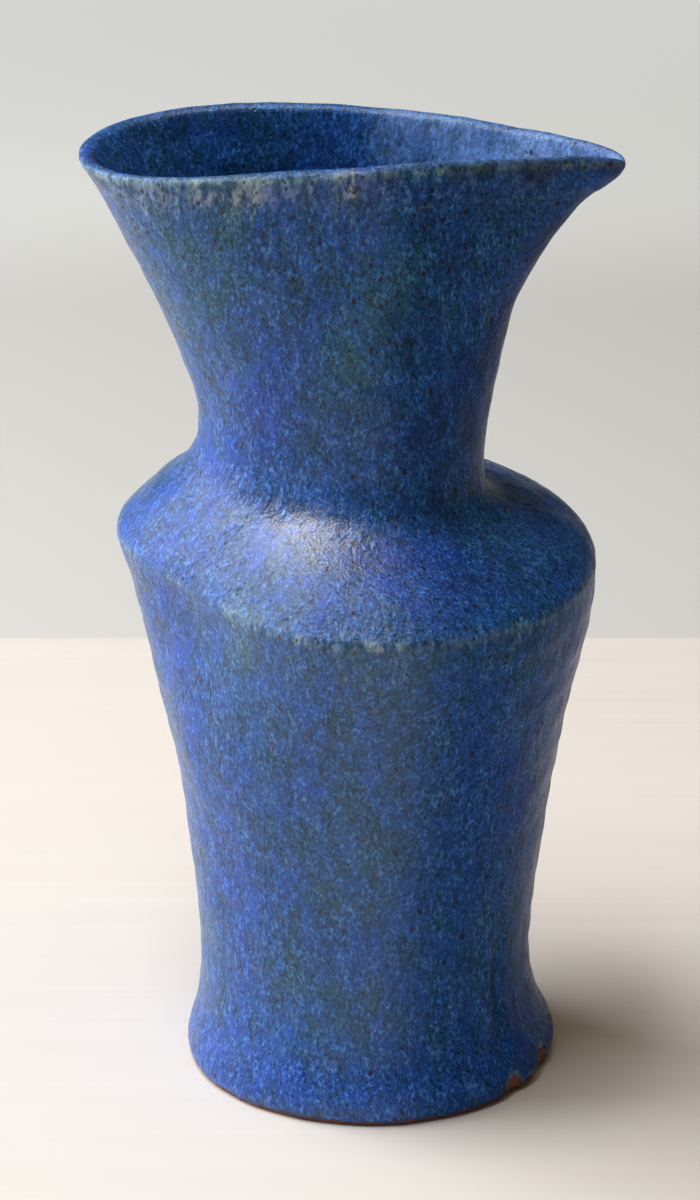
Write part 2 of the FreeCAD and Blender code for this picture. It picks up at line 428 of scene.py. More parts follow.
def rounded_ridge(grid):
    """Rounds the shoulder's ridge: little at the left and front, more at the right and back."""
    azimuth = directions(grid[ROW["ridge"]])
    softness = 0.5 - 0.5 * np.cos(np.radians(away(azimuth, -150)))
    soften(grid, ROW["ridge"], 14, 16, 0.10 + 0.40 * softness)


def rounded_junction(grid):
    """Widens the hollow where the neck grows out of the shoulder, most at the front left."""
    azimuth = directions(grid[ROW["junction"]], AXIS.x)
    softness = 0.5 + 0.5 * np.cos(np.radians(away(azimuth, -118)))
    soften(grid, ROW["junction"], 34, 170, 0.04 + 0.46 * softness ** 2)


def blunt_tip(grid, place):
    """Rounds off and lowers the point of the pouring lip."""
    end = grid[..., 0].max()
    start = end - TIP_REACH
    share = np.clip((grid[..., 0] - start) / TIP_REACH, 0, 1)
    near = smoothstep(place.below_lip, 26, 12)
    grid[..., 0] += 0.9 * TIP_REACH * share ** 2 * (1 - share) * near
    grid[..., 2] -= TIP_DROP * share ** 2 * near


def worked_grid():
    """The grid with the hand's marks, and its normals."""
    grid = smooth_grid.copy()
    rounded_ridge(grid)
    rounded_junction(grid)
    normals = normals_of(grid)
    place = Place(grid)
    rows = np.arange(len(grid))[:, None]
    inward = smoothstep(rows, ROW["lip_out"], ROW["lip_in"])
    relief = (1 - inward) * outside_relief(place) + inward * inside_relief(place)
    fade = 1 - smoothstep(rows, ROW["inner_end"] - 12, ROW["inner_end"])
    grid += normals * (relief * fade)[..., None]
    blunt_tip(grid, place)
    round_the_lip = smoothstep(place.below_lip, 9, 0)
    waver = 0.45 * lumps(grid, 26 * MM, 11.3) + 0.22 * lumps(grid, 9 * MM, 12.9)
    grid[..., 2] += (waver - 0.45) * MM * round_the_lip
    return grid, normals_of(grid)


# Rows of glaze that shift to make its lower edge, and rows in which it may thin towards it.
FOOT_EDGE_ROWS = 34
TAPER_ROWS = 40


def ragged_foot(grid):
    """Moves the glaze's lowest rows along the wall to an uneven edge, which chips break."""
    chip_heights = chip_shape(directions(grid[0], AXIS.x), 2)
    for column, chip_height in enumerate(chip_heights):
        line = grid[:FOOT_EDGE_ROWS, column]
        edge = Vector((line[0, 0], line[0, 1], 0)) / MM
        run = 1.5 + 0.55 * noise.noise(edge / 9) + 0.45 * noise.noise(edge / 3.1)
        run += float(chip_height) * (1 + 0.5 * noise.noise(edge / 2.2))
        start = max(run, 0.5) * MM
        heights = line[:, 2].copy()
        wanted = start + (heights - heights[0]) * (heights[-1] - start) / (heights[-1] - heights[0])
        for axis in range(2):
            line[:, axis] = np.interp(wanted, heights, line[:, axis].copy())
        line[:, 2] = wanted


GRID, NORMALS = worked_grid()
CLAY = GRID - NORMALS * COAT
glaze_front = GRID.copy()
ragged_foot(glaze_front)
glaze_back = CLAY.copy()
ragged_foot(glaze_back)
over_edge = (glaze_front[:TAPER_ROWS, :, 2] - glaze_front[0, :, 2]) / MM
taper = (1 - smoothstep(over_edge, 0.0, 1.1)) * (COAT - 0.2 * MM)
glaze_front[:TAPER_ROWS] -= NORMALS[:TAPER_ROWS] * taper[..., None]
FRONT_NORMALS = normals_of(glaze_front)
INWARD = smoothstep(np.arange(len(GRID)), ROW["lip_out"], ROW["lip_in"])


def row_at(first, last, miss):
    """The row between two rows whose mean miss comes nearest to zero."""
    misses = [abs(miss(Place(GRID[row])).mean()) for row in range(first, last + 1)]
    return first + int(np.argmin(misses))


def neck_rows_at(miss):
    """The rows outside and inside the neck and mouth that a miss picks."""
    return (row_at(ROW["junction"], ROW["lip_out"], miss),
            row_at(ROW["lip_in"], ROW["inner_junction"], miss))


def body_rows_at(height):
    """The rows outside and inside the body at a height."""
    def miss(place):
        return place.height - height / MM
    return (row_at(ROW["foot"], ROW["ridge"], miss),
            row_at(ROW["inner_ridge"], ROW["wall_end"], miss))


# The rows where the pieces are cut.
UNDER_RIDGE = ROW["ridge"] - 8
neck_joint_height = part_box("neck_wall")[1].z / MM
lip_band_out, lip_band_in = neck_rows_at(lambda place: place.below_lip - LIP_BAND / MM)
coil_out, coil_in = neck_rows_at(lambda place: place.below_lip - (RIM_COIL + COAT) / MM)
neck_out, neck_in = neck_rows_at(lambda place: place.height - neck_joint_height)
instep_out, instep_in = body_rows_at(float(instep_line(0, 0)))
body_out, body_in = body_rows_at(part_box("lower_wall")[1].z)


# ---------------------------------------------------------------- glaze thickness, as attributes

# Where the glaze lies thick and deep blue: direction, height, half width, half height, lean, strength.
POOLS = (
    (-132, 252, 24, 20, 0.9, 0.9),
    (-62, 150, 24, 50, 0.0, 0.35),
    (-118, 282, 26, 10, 1.1, 0.6),
    (-70, 208, 34, 8, 0.0, 0.8),
    (-160, 200, 40, 8, 0.0, 0.4),
    (-152, 150, 10, 50, 0.0, 0.5),
    (-135, 60, 18, 45, 0.4, 0.6),
    (-100, 12, 70, 12, 0.0, 0.9),
    (-55, 120, 12, 60, -0.5, 0.25),
    (40, 12, 80, 14, 0.0, 0.7),
    (100, 250, 50, 30, 0.6, 0.6),
    (60, 90, 40, 60, 0.5, 0.4),
    (150, 40, 30, 40, 0.0, 0.6),
)
# Where it is thin and teal or grey-green.
THINS = (
    (-80, 300, 44, 24, 0.3, 1.0),
    (-150, 318, 14, 26, 0.5, 0.8),
    (-82, 186, 34, 7, 0.0, 0.6),
    (-78, 150, 30, 30, 0.2, 0.3),
    (-95, 95, 34, 34, 0.3, 0.2),
    (-60, 50, 24, 24, 0.0, 0.35),
    (80, 310, 60, 14, 0.0, 0.6),
    (120, 170, 50, 26, 0.3, 0.5),
    (20, 140, 30, 40, 0.0, 0.4),
)


def sum_of_patches(place, patches):
    """Adds up soft patches of the kinds listed above, each times its strength."""
    total = 0 * place.height
    for centre, at_height, half_width, half_height, lean, strength in patches:
        total += strength * patch(
            place.azimuth, place.height, centre, at_height, half_width, half_height, lean)
    return total


def glaze_layers(grid, inward):
    """Named values at every point, from which the glaze material mixes its colours.

    inward is 0 on the outside and 1 on the inside. thick and edge say where the glaze pools and
    where it breaks; cream, streak and iron place its pale and rusty marks. One layer paints a pale
    sheen inside the pouring lip. Another darkens a band at the front of the lip and paints shade
    in the crease near the foot, down the right side, on the right of the neck and shoulder and on
    the left of the inside. The right side's layer and gloss set how shiny it is.
    """
    place = Place(grid)
    outside = 1 - inward
    lip_top = np.exp(-(((place.below_lip - 2.4) / 1.3) ** 2)) * (1 - smoothstep(inward, 0.35, 0.6))
    lip_side = smoothstep(place.below_lip, 9, 2) * outside
    near_ridge = np.exp(-((place.over_ridge / 1.7) ** 2)) * outside
    under_ridge = smoothstep(place.over_ridge, -26, -2) * (place.over_ridge < 0) * outside
    front_middle = np.exp(-((away(place.azimuth, -92) / 17) ** 2))
    broken = np.clip(0.5 + 1.1 * lumps(grid, 5 * MM, 21.0), 0, 1)
    long_broken = np.clip(0.5 + 1.0 * lumps(grid, 16 * MM, 22.0), 0, 1)
    runs = np.clip(0.1 + 1.5 * lumps(grid, 3.2 * MM, 23.0, (1, 1, 9)), 0, 1)
    thick = sum_of_patches(place, POOLS) - sum_of_patches(place, THINS)
    lip_edge = lip_top * (0.5 + 0.5 * broken)
    thin_edge = np.maximum(lip_edge, near_ridge * (0.10 + 0.5 * broken))
    # Painted light: a pale sheen inside the pouring lip, on the right.
    spout_sheen = smoothstep(place.below_lip, 34, 4) * inward * place.right * (0.4 + 0.6 * long_broken)
    # The right side: painted shade there, and less shine.
    dry_shaded_side = smoothstep(np.cos(np.radians(place.azimuth)), 0.0, 0.6) * outside
    chip_height = chip_shape(place.azimuth, 2)
    chip_edge = smoothstep(place.height, chip_height + 4.0, chip_height + 2.2) * outside
    thin_edge = np.maximum(thin_edge, 0.8 * chip_edge * smoothstep(chip_height, 1.0, 2.5))
    cream = near_ridge * front_middle * (0.15 + 0.75 * broken)
    under_lip = np.exp(-(((place.below_lip - 7) / 5) ** 2)) * outside
    left_band = patch(place.azimuth, place.below_lip, -128, 10, 26, 14)
    cream += 0.55 * under_lip * long_broken * (0.35 + 0.65 * place.left)
    blemish = patch(place.azimuth, place.below_lip, -93, 6, 4.5, 5.0) * outside
    ledge = np.exp(-(((place.below_lip - 14.5) / 1.0) ** 2)) * place.right * outside
    streak = runs * (1.3 * left_band + 0.5 * under_ridge + 0.5 * lip_side + 0.25) * outside
    streak = np.maximum(streak, 0.8 * ledge * long_broken)
    iron = 0.25 + 0.75 * smoothstep(place.over_junction, 40, 95) * outside
    iron += 0.6 * smoothstep(place.over_ridge, 0, 10) * place.right * outside
    iron = np.clip(iron - 0.35 * place.left, 0.1, 1)
    dark_lip = lip_side * np.exp(-((away(place.azimuth, -40) / 34) ** 2)) * 0.8
    # Painted shade: a thin dark line down the crease near the foot at the front right.
    crease_shade = 1.2 * patch(place.azimuth, place.height, -36, 36, 1.2, 14) * outside
    # Painted shadow on the right of the neck and shoulder, and painted shade down the right side.
    right_upper_shade = place.right * smoothstep(place.over_ridge, 2, 14) * outside
    shade = 0.45 * dry_shaded_side + 0.45 * right_upper_shade * long_broken
    # Painted shade on the left of the inside wall.
    left_inside_shade = 0.9 * inward * place.left * long_broken
    band = np.exp(-(((place.below_lip - 9) / 4) ** 2)) * place.right * outside
    return {
        "thick": thick + 0.6 * band,
        "edge": np.clip(thin_edge, 0, 1),
        "cream": np.clip(cream + 0.9 * blemish, 0, 1),
        "spout_sheen": spout_sheen,
        "dry_shaded_side": dry_shaded_side,
        "gloss": patch(place.azimuth, place.height, -108, 220, 24, 10, -0.2) * outside,
        "streak": np.clip(streak, 0, 1),
        "iron": iron,
        "dark_glaze_and_shade": np.clip(dark_lip + crease_shade + shade + left_inside_shade, 0, 1),
    }


# ---------------------------------------------------------------- making pieces

def ring_piece(name, rows, normals, ends, layers=None, hub=None):
    """A closed ring whose rows go once round its own section.

    ends lists the strips, by their first row, that are shaded flat. With hub, the strip after
    the row of that number is left out and a fan of faces closes each of its two sides.
    """
    count = len(rows)
    points = rows.reshape(-1, 3)
    above = np.roll(np.arange(COLUMNS), -1)
    strips = [number for number in range(count) if number != hub]
    first = np.array(strips)[:, None] * COLUMNS
    second = ((np.array(strips) + 1) % count)[:, None] * COLUMNS
    column = np.arange(COLUMNS)[None, :]
    faces = np.stack([first + column, first + above, second + above, second + column], axis=-1)
    flat_strip = np.isin(strips, ends)
    corner_normals = normals.reshape(-1, 3)[faces]
    edge_a = points[faces[..., 1]] - points[faces[..., 0]]
    edge_b = points[faces[..., 3]] - points[faces[..., 0]]
    face_normals = np.cross(edge_a, edge_b)
    face_normals /= np.maximum(np.linalg.norm(face_normals, axis=-1, keepdims=True), 1e-12)
    corner_normals[flat_strip] = face_normals[flat_strip][:, :, None, :]
    faces = faces.reshape(-1, 4).tolist()
    corner_normals = corner_normals.reshape(-1, 3).tolist()
    points = points.tolist()
    if hub is not None:
        for row, order in ((hub, 1), (hub + 1, -1)):
            middle = rows[row].mean(axis=0)
            points.append(middle.tolist())
            up = normals[row].mean(axis=0)
            for here, there in zip(range(COLUMNS), above):
                face = [row * COLUMNS + here, row * COLUMNS + int(there), len(points) - 1]
                faces.append(face[::order])
                corner_normals += [up.tolist()] * 3
    mesh = bpy.data.meshes.new(name)
    mesh.from_pydata(points, [], faces)
    mesh.polygons.foreach_set("use_smooth", [True] * len(faces))
    mesh.normals_split_custom_set(corner_normals)
    for key, values in (layers or {}).items():
        attribute = mesh.attributes.new(key, "FLOAT", "POINT")
        spread = np.zeros(len(points), np.float32)
        spread[:values.size] = values.reshape(-1)
        attribute.data.foreach_set("value", spread)
    piece = bpy.data.objects.new(name, mesh)
    bpy.context.scene.collection.objects.link(piece)
    return piece


# How many rows of the grid make one step of the glaze's back, of the clay, and of the rim's coil.
BACK_STEP = 4
CLAY_STEP = 3
RIM_STEP = 2


def thinned(first, last, step):
    """Rows from first to last, both included, every step-th."""
    rows = list(range(first, last, step))
    if last - rows[-1] < step / 2 and len(rows) > 1:
        rows.pop()
    return rows + [last]


def glaze_piece(name, first, last, hub=False):
    """A shell of glaze: its face, and its back on the clay."""
    back_rows = thinned(first, last, BACK_STEP)[::-1]
    face_rows = np.arange(first, last + 1)
    rows = np.concatenate([glaze_front[face_rows], glaze_back[back_rows]])
    normals = np.concatenate([FRONT_NORMALS[face_rows], -NORMALS[back_rows]])
    every_row = np.concatenate([face_rows, back_rows])
    layers = glaze_layers(rows, INWARD[every_row][:, None] + np.zeros((1, COLUMNS)))
    face_count = len(face_rows)
    ends = [len(rows) - 1] if hub else [face_count - 1, len(rows) - 1]
    return ring_piece(name, rows, normals, ends, layers, face_count - 1 if hub else None)


def clay_piece(name, outer_rows, inner_rows):
    """A ring of clay between two rows outside and two rows inside."""
    outer = thinned(*outer_rows, CLAY_STEP)
    inner = thinned(*inner_rows, CLAY_STEP)
    picked = outer + inner
    rows = CLAY[picked]
    normals = NORMALS[picked]
    return ring_piece(name, rows, normals, [len(outer) - 1, len(picked) - 1])


def rim_piece():
    """The rim's coil, which goes over the lip from outside to inside."""
    picked = thinned(coil_out, coil_in, RIM_STEP)
    return ring_piece("rim_clay", CLAY[picked], NORMALS[picked], [len(picked) - 1])


# The soft edge round the bare foot: heights, and how far it lies inside the wall's line, in mm.
FOOT_EDGE = ((0.0, 0.7), (0.1, 0.35), (0.4, 0.1), (0.9, 0.0), (1.3, 0.0))


def foot_piece():
    """The foot coil: bare clay with a softened edge, chipped where the glaze broke away."""
    outer = CLAY[:instep_out + 1]
    slab_low, slab_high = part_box("base_slab")
    slab_radius = (slab_high.x - slab_low.x) / 2
    lowest = outer[0]
    slope = (outer[3] - outer[0]) / (outer[3] - outer[0])[:, 2:3]
    azimuth = directions(lowest, AXIS.x)
    depth = chip_shape(azimuth, 3) * MM
    bare_rows = []
    for height, inset in FOOT_EDGE:
        row = lowest + slope * (height * MM - lowest[:, 2:3])
        radial = row * [1, 1, 0]
        radial /= np.linalg.norm(radial, axis=1, keepdims=True)
        roughness = 0.10 * lumps(row, 2.0 * MM, 31.0) + 0.12 * lumps(row, 6 * MM, 32.0)
        bare_rows.append(row - radial * (inset * MM + roughness * MM * (height > 0))[:, None])
    outer = np.concatenate([np.array(bare_rows), outer])
    reach = smoothstep(outer[:, :, 2] / MM, chip_shape(azimuth, 2)[None, :] + 1.6, 0.0)
    rough = 1 + 0.5 * lumps(outer, 1.7 * MM, 33.0)
    outer -= normals_of(outer) * (depth[None, :] * reach * rough)[..., None]
    inner_low = row_at(instep_in, ROW["inner_end"] - 8,
                       lambda place: place.height - slab_high.z / MM - COAT / MM)
    inner = CLAY[thinned(instep_in, inner_low, CLAY_STEP)]
    direction = inner[-1] * [1, 1, 0]
    direction /= np.linalg.norm(direction, axis=1, keepdims=True)
    lower_step = direction * slab_radius
    upper_step = lower_step + [0, 0, slab_high.z]
    across = [lower_step + (outer[0] - lower_step) * share for share in (0.0, 0.4, 0.8)]
    rows = np.concatenate([outer, inner, [upper_step], np.array(across)])
    flat = [len(outer) - 1] + list(range(len(rows) - 6, len(rows)))
    return ring_piece("foot_clay", rows, normals_of(rows), flat)


# ---------------------------------------------------------------- materials

class Shader:
    """Builds the nodes of one material. Patterns are placed by the row frame's coordinates."""

    def __init__(self, name):
        self.material = bpy.data.materials.new(name)
        self.material.use_nodes = True
        self.tree = self.material.node_tree
        self.surface = self.tree.nodes["Principled BSDF"]
        self.where = self.tree.nodes.new("ShaderNodeTexCoord").outputs["Object"]

    def add(self, kind, settings, inputs):
        node = self.tree.nodes.new(kind)
        for key, value in settings.items():
            setattr(node, key, value)
        for key, value in inputs.items():
            self.set(node.inputs[key], value)
        return node

    def set(self, socket, value):
        if isinstance(value, bpy.types.NodeSocket):
            self.tree.links.new(value, socket)
        else:
            socket.default_value = value

    def layer(self, name):
        return self.add("ShaderNodeAttribute", {"attribute_name": name}, {}).outputs["Fac"]

    def placed(self, size, stretch, shift):
        scale = [1 / (size * part) for part in stretch]
        inputs = {"Vector": self.where, "Scale": scale, "Location": (shift, shift, shift)}
        return self.add("ShaderNodeMapping", {}, inputs).outputs["Vector"]

    def noise(self, size, detail=3.0, rough=0.55, stretch=(1, 1, 1), shift=0.0, warp=0.0):
        inputs = {"Vector": self.placed(size, stretch, shift), "Scale": 1.0, "Detail": detail,
                  "Roughness": rough, "Distortion": warp}
        return self.add("ShaderNodeTexNoise", {}, inputs).outputs["Fac"]

    def cells(self, size, output, stretch=(1, 1, 1), shift=0.0, loose=1.0):
        inputs = {"Vector": self.placed(size, stretch, shift), "Scale": 1.0, "Randomness": loose}
        return self.add("ShaderNodeTexVoronoi", {}, inputs).outputs[output]

    def math(self, operation, first, second):
        inputs = {0: first, 1: second}
        return self.add("ShaderNodeMath", {"operation": operation}, inputs).outputs[0]

    def plus(self, first, second):
        return self.math("ADD", first, second)

    def times(self, first, second):
        return self.math("MULTIPLY", first, second)

    def most(self, first, second):
        return self.math("MAXIMUM", first, second)

    def ramp(self, value, low, high, start=0.0, end=1.0):
        """A smooth rise from start to end while value goes from low to high."""
        inputs = {"Value": value, "From Min": low, "From Max": high, "To Min": start, "To Max": end}
        settings = {"interpolation_type": "SMOOTHSTEP"}
        return self.add("ShaderNodeMapRange", settings, inputs).outputs["Result"]

    def mix(self, share, first, second):
        node = self.add("ShaderNodeMix", {"data_type": "RGBA"}, {0: share})
        self.set(node.inputs[6], self.colour(first))
        self.set(node.inputs[7], self.colour(second))
        return node.outputs[2]

    def colour(self, value):
        return value if isinstance(value, bpy.types.NodeSocket) else (*value, 1.0)

    def stops(self, value, *colours):
        """A blend through colours at even steps of value from 0 to 1."""
        node = self.add("ShaderNodeValToRGB", {}, {"Fac": value})
        ramp = node.color_ramp
        ramp.elements[0].color = (*colours[0], 1)
        ramp.elements[1].color = (*colours[-1], 1)
        for number, colour in enumerate(colours[1:-1], start=1):
            ramp.elements.new(number / (len(colours) - 1)).color = (*colour, 1)
        return node.outputs["Color"]

    def specks(self, size, radius, chance, stretch=(1, 1, 1), shift=0.0):
        """Scattered round spots. chance, from 0 to 1, is the share of the cells that hold one."""
        distance = self.cells(size, "Distance", stretch, shift)
        lottery = self.cells(size, "Color", stretch, shift)
        parts = self.add("ShaderNodeSeparateColor", {}, {"Color": lottery})
        drawn = self.ramp(self.math("SUBTRACT", chance, parts.outputs[0]), -0.02, 0.02)
        reach = self.times(self.plus(parts.outputs[1], 0.45), radius / size)
        inside = self.math("SUBTRACT", reach, distance)
        return self.times(self.ramp(inside, -0.03, 0.05), drawn)

    def finish(self, colour, rough, height, distance, strength=1.0):
        self.set(self.surface.inputs["Base Color"], colour)
        self.set(self.surface.inputs["Roughness"], rough)
        inputs = {"Height": height, "Distance": distance, "Strength": strength}
        bump = self.add("ShaderNodeBump", {}, inputs)
        self.set(self.surface.inputs["Normal"], bump.outputs["Normal"])
        return self.material


# The glaze's colours, from thick to thin, the colours of its marks, and those of its painted sheen and
# shade.
NAVY = (0.002, 0.009, 0.045)
DEEP_BLUE = (0.007, 0.060, 0.430)
MID_BLUE = (0.011, 0.084, 0.370)
SLATE = (0.017, 0.100, 0.270)
TEAL = (0.036, 0.160, 0.235)
FLECK = (0.095, 0.290, 0.680)
# The pale colour of the painted sheen inside the pouring lip.
SHEEN_PERIWINKLE = (0.230, 0.400, 0.760)
PALE_GREEN = (0.270, 0.430, 0.420)
CREAM = (0.500, 0.520, 0.400)
IRON = (0.022, 0.010, 0.006)
RUST = (0.050, 0.022, 0.012)
# The dark band at the front of the lip, and the painted shade.
DARK_GLAZE_AND_SHADE = (0.010, 0.016, 0.022)
PIT = (0.004, 0.005, 0.008)
# The far wall as the camera sees it.
WALL = (0.655, 0.665, 0.640, 1)


def glaze_material(name, brightness):
    """Satin cobalt glaze: deep blue where thick, teal where thin, pale where it breaks."""
    s = Shader(name)
    wide = s.noise(46 * MM, 3, 0.5, (1, 1, 1.4), 1.7, 0.4)
    middle = s.noise(11 * MM, 4, 0.6, (1, 1, 1.5), 4.2)
    small = s.noise(3.0 * MM, 4, 0.62, (1, 1, 2.1), 2.9)
    fine = s.noise(1.15 * MM, 3, 0.65, (1, 1, 1.7), 6.1)
    grain = s.noise(0.55 * MM, 2, 0.6, (1, 1, 1), 8.3)
    runs = s.noise(2.6 * MM, 3, 0.6, (1, 1, 14), 3.3)
    iron_layer = s.layer("iron")
    thickness = s.plus(s.times(s.layer("thick"), 0.34), 0.55)
    thickness = s.plus(thickness, s.times(s.math("SUBTRACT", wide, 0.5), 1.0))
    thickness = s.plus(thickness, s.times(s.math("SUBTRACT", middle, 0.5), 1.1))
    thickness = s.plus(thickness, s.times(s.math("SUBTRACT", small, 0.5), 0.9))
    colour = s.stops(thickness, TEAL, SLATE, MID_BLUE, DEEP_BLUE)
    flecks = s.times(s.ramp(fine, 0.52, 0.66), s.ramp(small, 0.36, 0.60, 0.15, 0.60))
    colour = s.mix(flecks, colour, FLECK)
    hollows = s.times(s.ramp(fine, 0.50, 0.36), s.ramp(middle, 0.60, 0.40, 0.25, 0.60))
    colour = s.mix(hollows, colour, NAVY)
    sparkle = s.times(s.ramp(grain, 0.56, 0.70), 0.55)
    colour = s.mix(sparkle, colour, FLECK)
    gaps = s.times(s.ramp(grain, 0.46, 0.34), 0.45)
    colour = s.mix(gaps, colour, NAVY)
    streak = s.times(s.layer("streak"), s.ramp(runs, 0.42, 0.66))
    streak = s.times(streak, s.ramp(fine, 0.40, 0.60, 0.15, 1.0))
    colour = s.mix(s.times(streak, 0.70), colour, PALE_GREEN)
    edge = s.times(s.layer("edge"), s.ramp(small, 0.30, 0.56))
    colour = s.mix(s.times(edge, 0.72), colour, PALE_GREEN)
    cream = s.times(s.layer("cream"), s.ramp(small, 0.40, 0.62))
    colour = s.mix(s.times(cream, 0.85), colour, CREAM)
    # Painted light: the pale sheen inside the pouring lip.
    colour = s.mix(s.times(s.layer("spout_sheen"), 0.62), colour, SHEEN_PERIWINKLE)
    breaking = s.most(edge, cream)
    brown = s.specks(1.9 * MM, 0.5 * MM, s.times(breaking, 0.6), (1, 1, 1.8), 5.5)
    colour = s.mix(s.times(brown, 0.85), colour, RUST)
    # Darker glaze at the front of the lip, and painted shade in the crease, down the right side and on
    # the left of the inside.
    dark_glaze_and_shade = s.times(s.layer("dark_glaze_and_shade"), s.ramp(middle, 0.30, 0.60))
    colour = s.mix(s.times(dark_glaze_and_shade, 0.75), colour, DARK_GLAZE_AND_SHADE)
    iron = s.specks(2.9 * MM, 0.62 * MM, s.times(iron_layer, 0.42), (1, 1, 1.5), 7.1)
    tiny_iron = s.specks(1.6 * MM, 0.34 * MM, s.times(iron_layer, 0.40), (1, 1, 1.4), 9.7)
    iron = s.most(iron, tiny_iron)
    colour = s.mix(s.times(iron, 0.86), colour, IRON)
    pits = s.specks(6.5 * MM, 0.42 * MM, 0.30, (1, 1, 1), 2.4)
    colour = s.mix(s.times(pits, 0.9), colour, PIT)
    mottle = s.plus(s.times(small, 0.5), s.plus(s.times(fine, 0.3), s.times(middle, 0.2)))
    mottle = s.ramp(mottle, 0.38, 0.62, 0.68 * brightness, 1.36 * brightness)
    shade = s.add("ShaderNodeHueSaturation", {}, {"Color": colour, "Value": mottle})
    colour = shade.outputs["Color"]
    rough = s.ramp(middle, 0.35, 0.65, 0.22, 0.32)
    rough = s.math("SUBTRACT", rough, s.times(s.layer("gloss"), 0.10))
    shine = s.plus(s.ramp(s.layer("dry_shaded_side"), 0.0, 1.0, 0.45, 0.06), s.times(s.layer("gloss"), 1.3))
    s.set(s.surface.inputs["Specular IOR Level"], shine)
    rough = s.plus(rough, s.times(s.most(breaking, iron), 0.10))
    height = s.plus(s.times(fine, 1.0), s.times(grain, 0.45))
    height = s.plus(height, s.times(small, 2.2))
    height = s.plus(height, s.times(s.math("SUBTRACT", 0.0, pits), 1.3))
    height = s.plus(height, s.times(s.math("SUBTRACT", 0.0, iron), 0.25))
    return s.finish(colour, rough, height, 0.30 * MM)


def clay_material():
    """Fired red-brown stoneware: grog, fine sand and wire marks under the foot."""
    s = Shader("fired_clay")
    broad = s.noise(22 * MM, 3, 0.55, (1, 1, 1), 0.4)
    fine = s.noise(1.6 * MM, 4, 0.65, (1, 1, 1), 3.6)
    sand = s.noise(0.5 * MM, 2, 0.6, (1, 1, 1), 5.9)
    wire = s.noise(1.8 * MM, 2, 0.5, (1, 22, 1), 1.3, 0.6)
    colour = s.stops(broad, (0.110, 0.036, 0.018), (0.185, 0.070, 0.036), (0.250, 0.110, 0.062))
    colour = s.mix(s.ramp(fine, 0.52, 0.75, 0.0, 0.6), colour, (0.060, 0.022, 0.013))
    grog = s.specks(2.4 * MM, 0.5 * MM, 0.3, (1, 1, 1), 4.4)
    colour = s.mix(s.times(grog, 0.7), colour, (0.42, 0.25, 0.16))
    height = s.plus(s.times(wire, 1.0), s.plus(s.times(fine, 0.6), s.times(sand, 0.35)))
    return s.finish(colour, s.ramp(fine, 0.3, 0.7, 0.72, 0.9), height, 0.22 * MM)


def table_material():
    """Pale limed board up to the table's back edge, and a soft grey ground beyond it.

    Far off, the camera sees the ground fade into the wall's colour; the light on the vase and
    the ground's own reflections stay as they were.
    """
    s = Shader("pale_board")
    grain = s.noise(9 * MM, 5, 0.6, (34, 1, 1), 2.0, 0.5)
    cloud = s.noise(160 * MM, 3, 0.5, (2, 1, 1), 5.0)
    board = s.stops(grain, (0.70, 0.665, 0.635), (0.74, 0.71, 0.685), (0.79, 0.765, 0.745))
    board = s.mix(s.ramp(cloud, 0.4, 0.65, 0.0, 0.5), board, (0.77, 0.74, 0.705))
    parts = s.add("ShaderNodeSeparateXYZ", {}, {"Vector": s.where})
    beyond = s.ramp(parts.outputs["Y"], TABLE_BACK, TABLE_BACK + 4 * MM)
    far = s.ramp(parts.outputs["Y"], 0.75, 0.95)
    ground = s.mix(far, (0.61, 0.625, 0.63), (0.77, 0.80, 0.81))
    colour = s.mix(beyond, board, ground)
    distance = s.add("ShaderNodeVectorMath", {"operation": "LENGTH"}, {0: s.where}).outputs["Value"]
    seen = s.add("ShaderNodeLightPath", {}, {}).outputs["Is Camera Ray"]
    haze = s.times(s.ramp(distance, 0.7, 1.5), seen)
    colour = s.mix(haze, colour, (0.0, 0.0, 0.0))
    s.set(s.surface.inputs["Emission Color"], WALL)
    s.set(s.surface.inputs["Emission Strength"], haze)
    return s.finish(colour, 0.72, grain, 0.15 * MM, 0.4)


# ---------------------------------------------------------------- the stage

def area_light(name, place, target, width, height, power, colour):
    """A rectangular lamp of a width and height in metres and a power in watts, aimed at a point."""
    lamp = bpy.data.lights.new(name, "AREA")
    lamp.shape = "RECTANGLE"
    lamp.size = width
    lamp.size_y = height
    lamp.energy = power
    lamp.color = colour
    light = bpy.data.objects.new(name, lamp)
    light.location = place
    aim = Vector(target) - Vector(place)
    light.rotation_euler = aim.to_track_quat("-Z", "Y").to_euler()
    bpy.context.scene.collection.objects.link(light)


def make_stage():
    """The table top, which runs on as the ground, and the room round it."""
    mesh = bpy.data.meshes.new("table_top")
    half = 6.0
    corners = [(-half, -half, 0), (half, -half, 0), (half, half, 0), (-half, half, 0)]
    mesh.from_pydata(corners, [], [(0, 1, 2, 3)])
    mesh.materials.append(table_material())
    table = bpy.data.objects.new("table_top", mesh)
    bpy.context.scene.collection.objects.link(table)
    make_room()


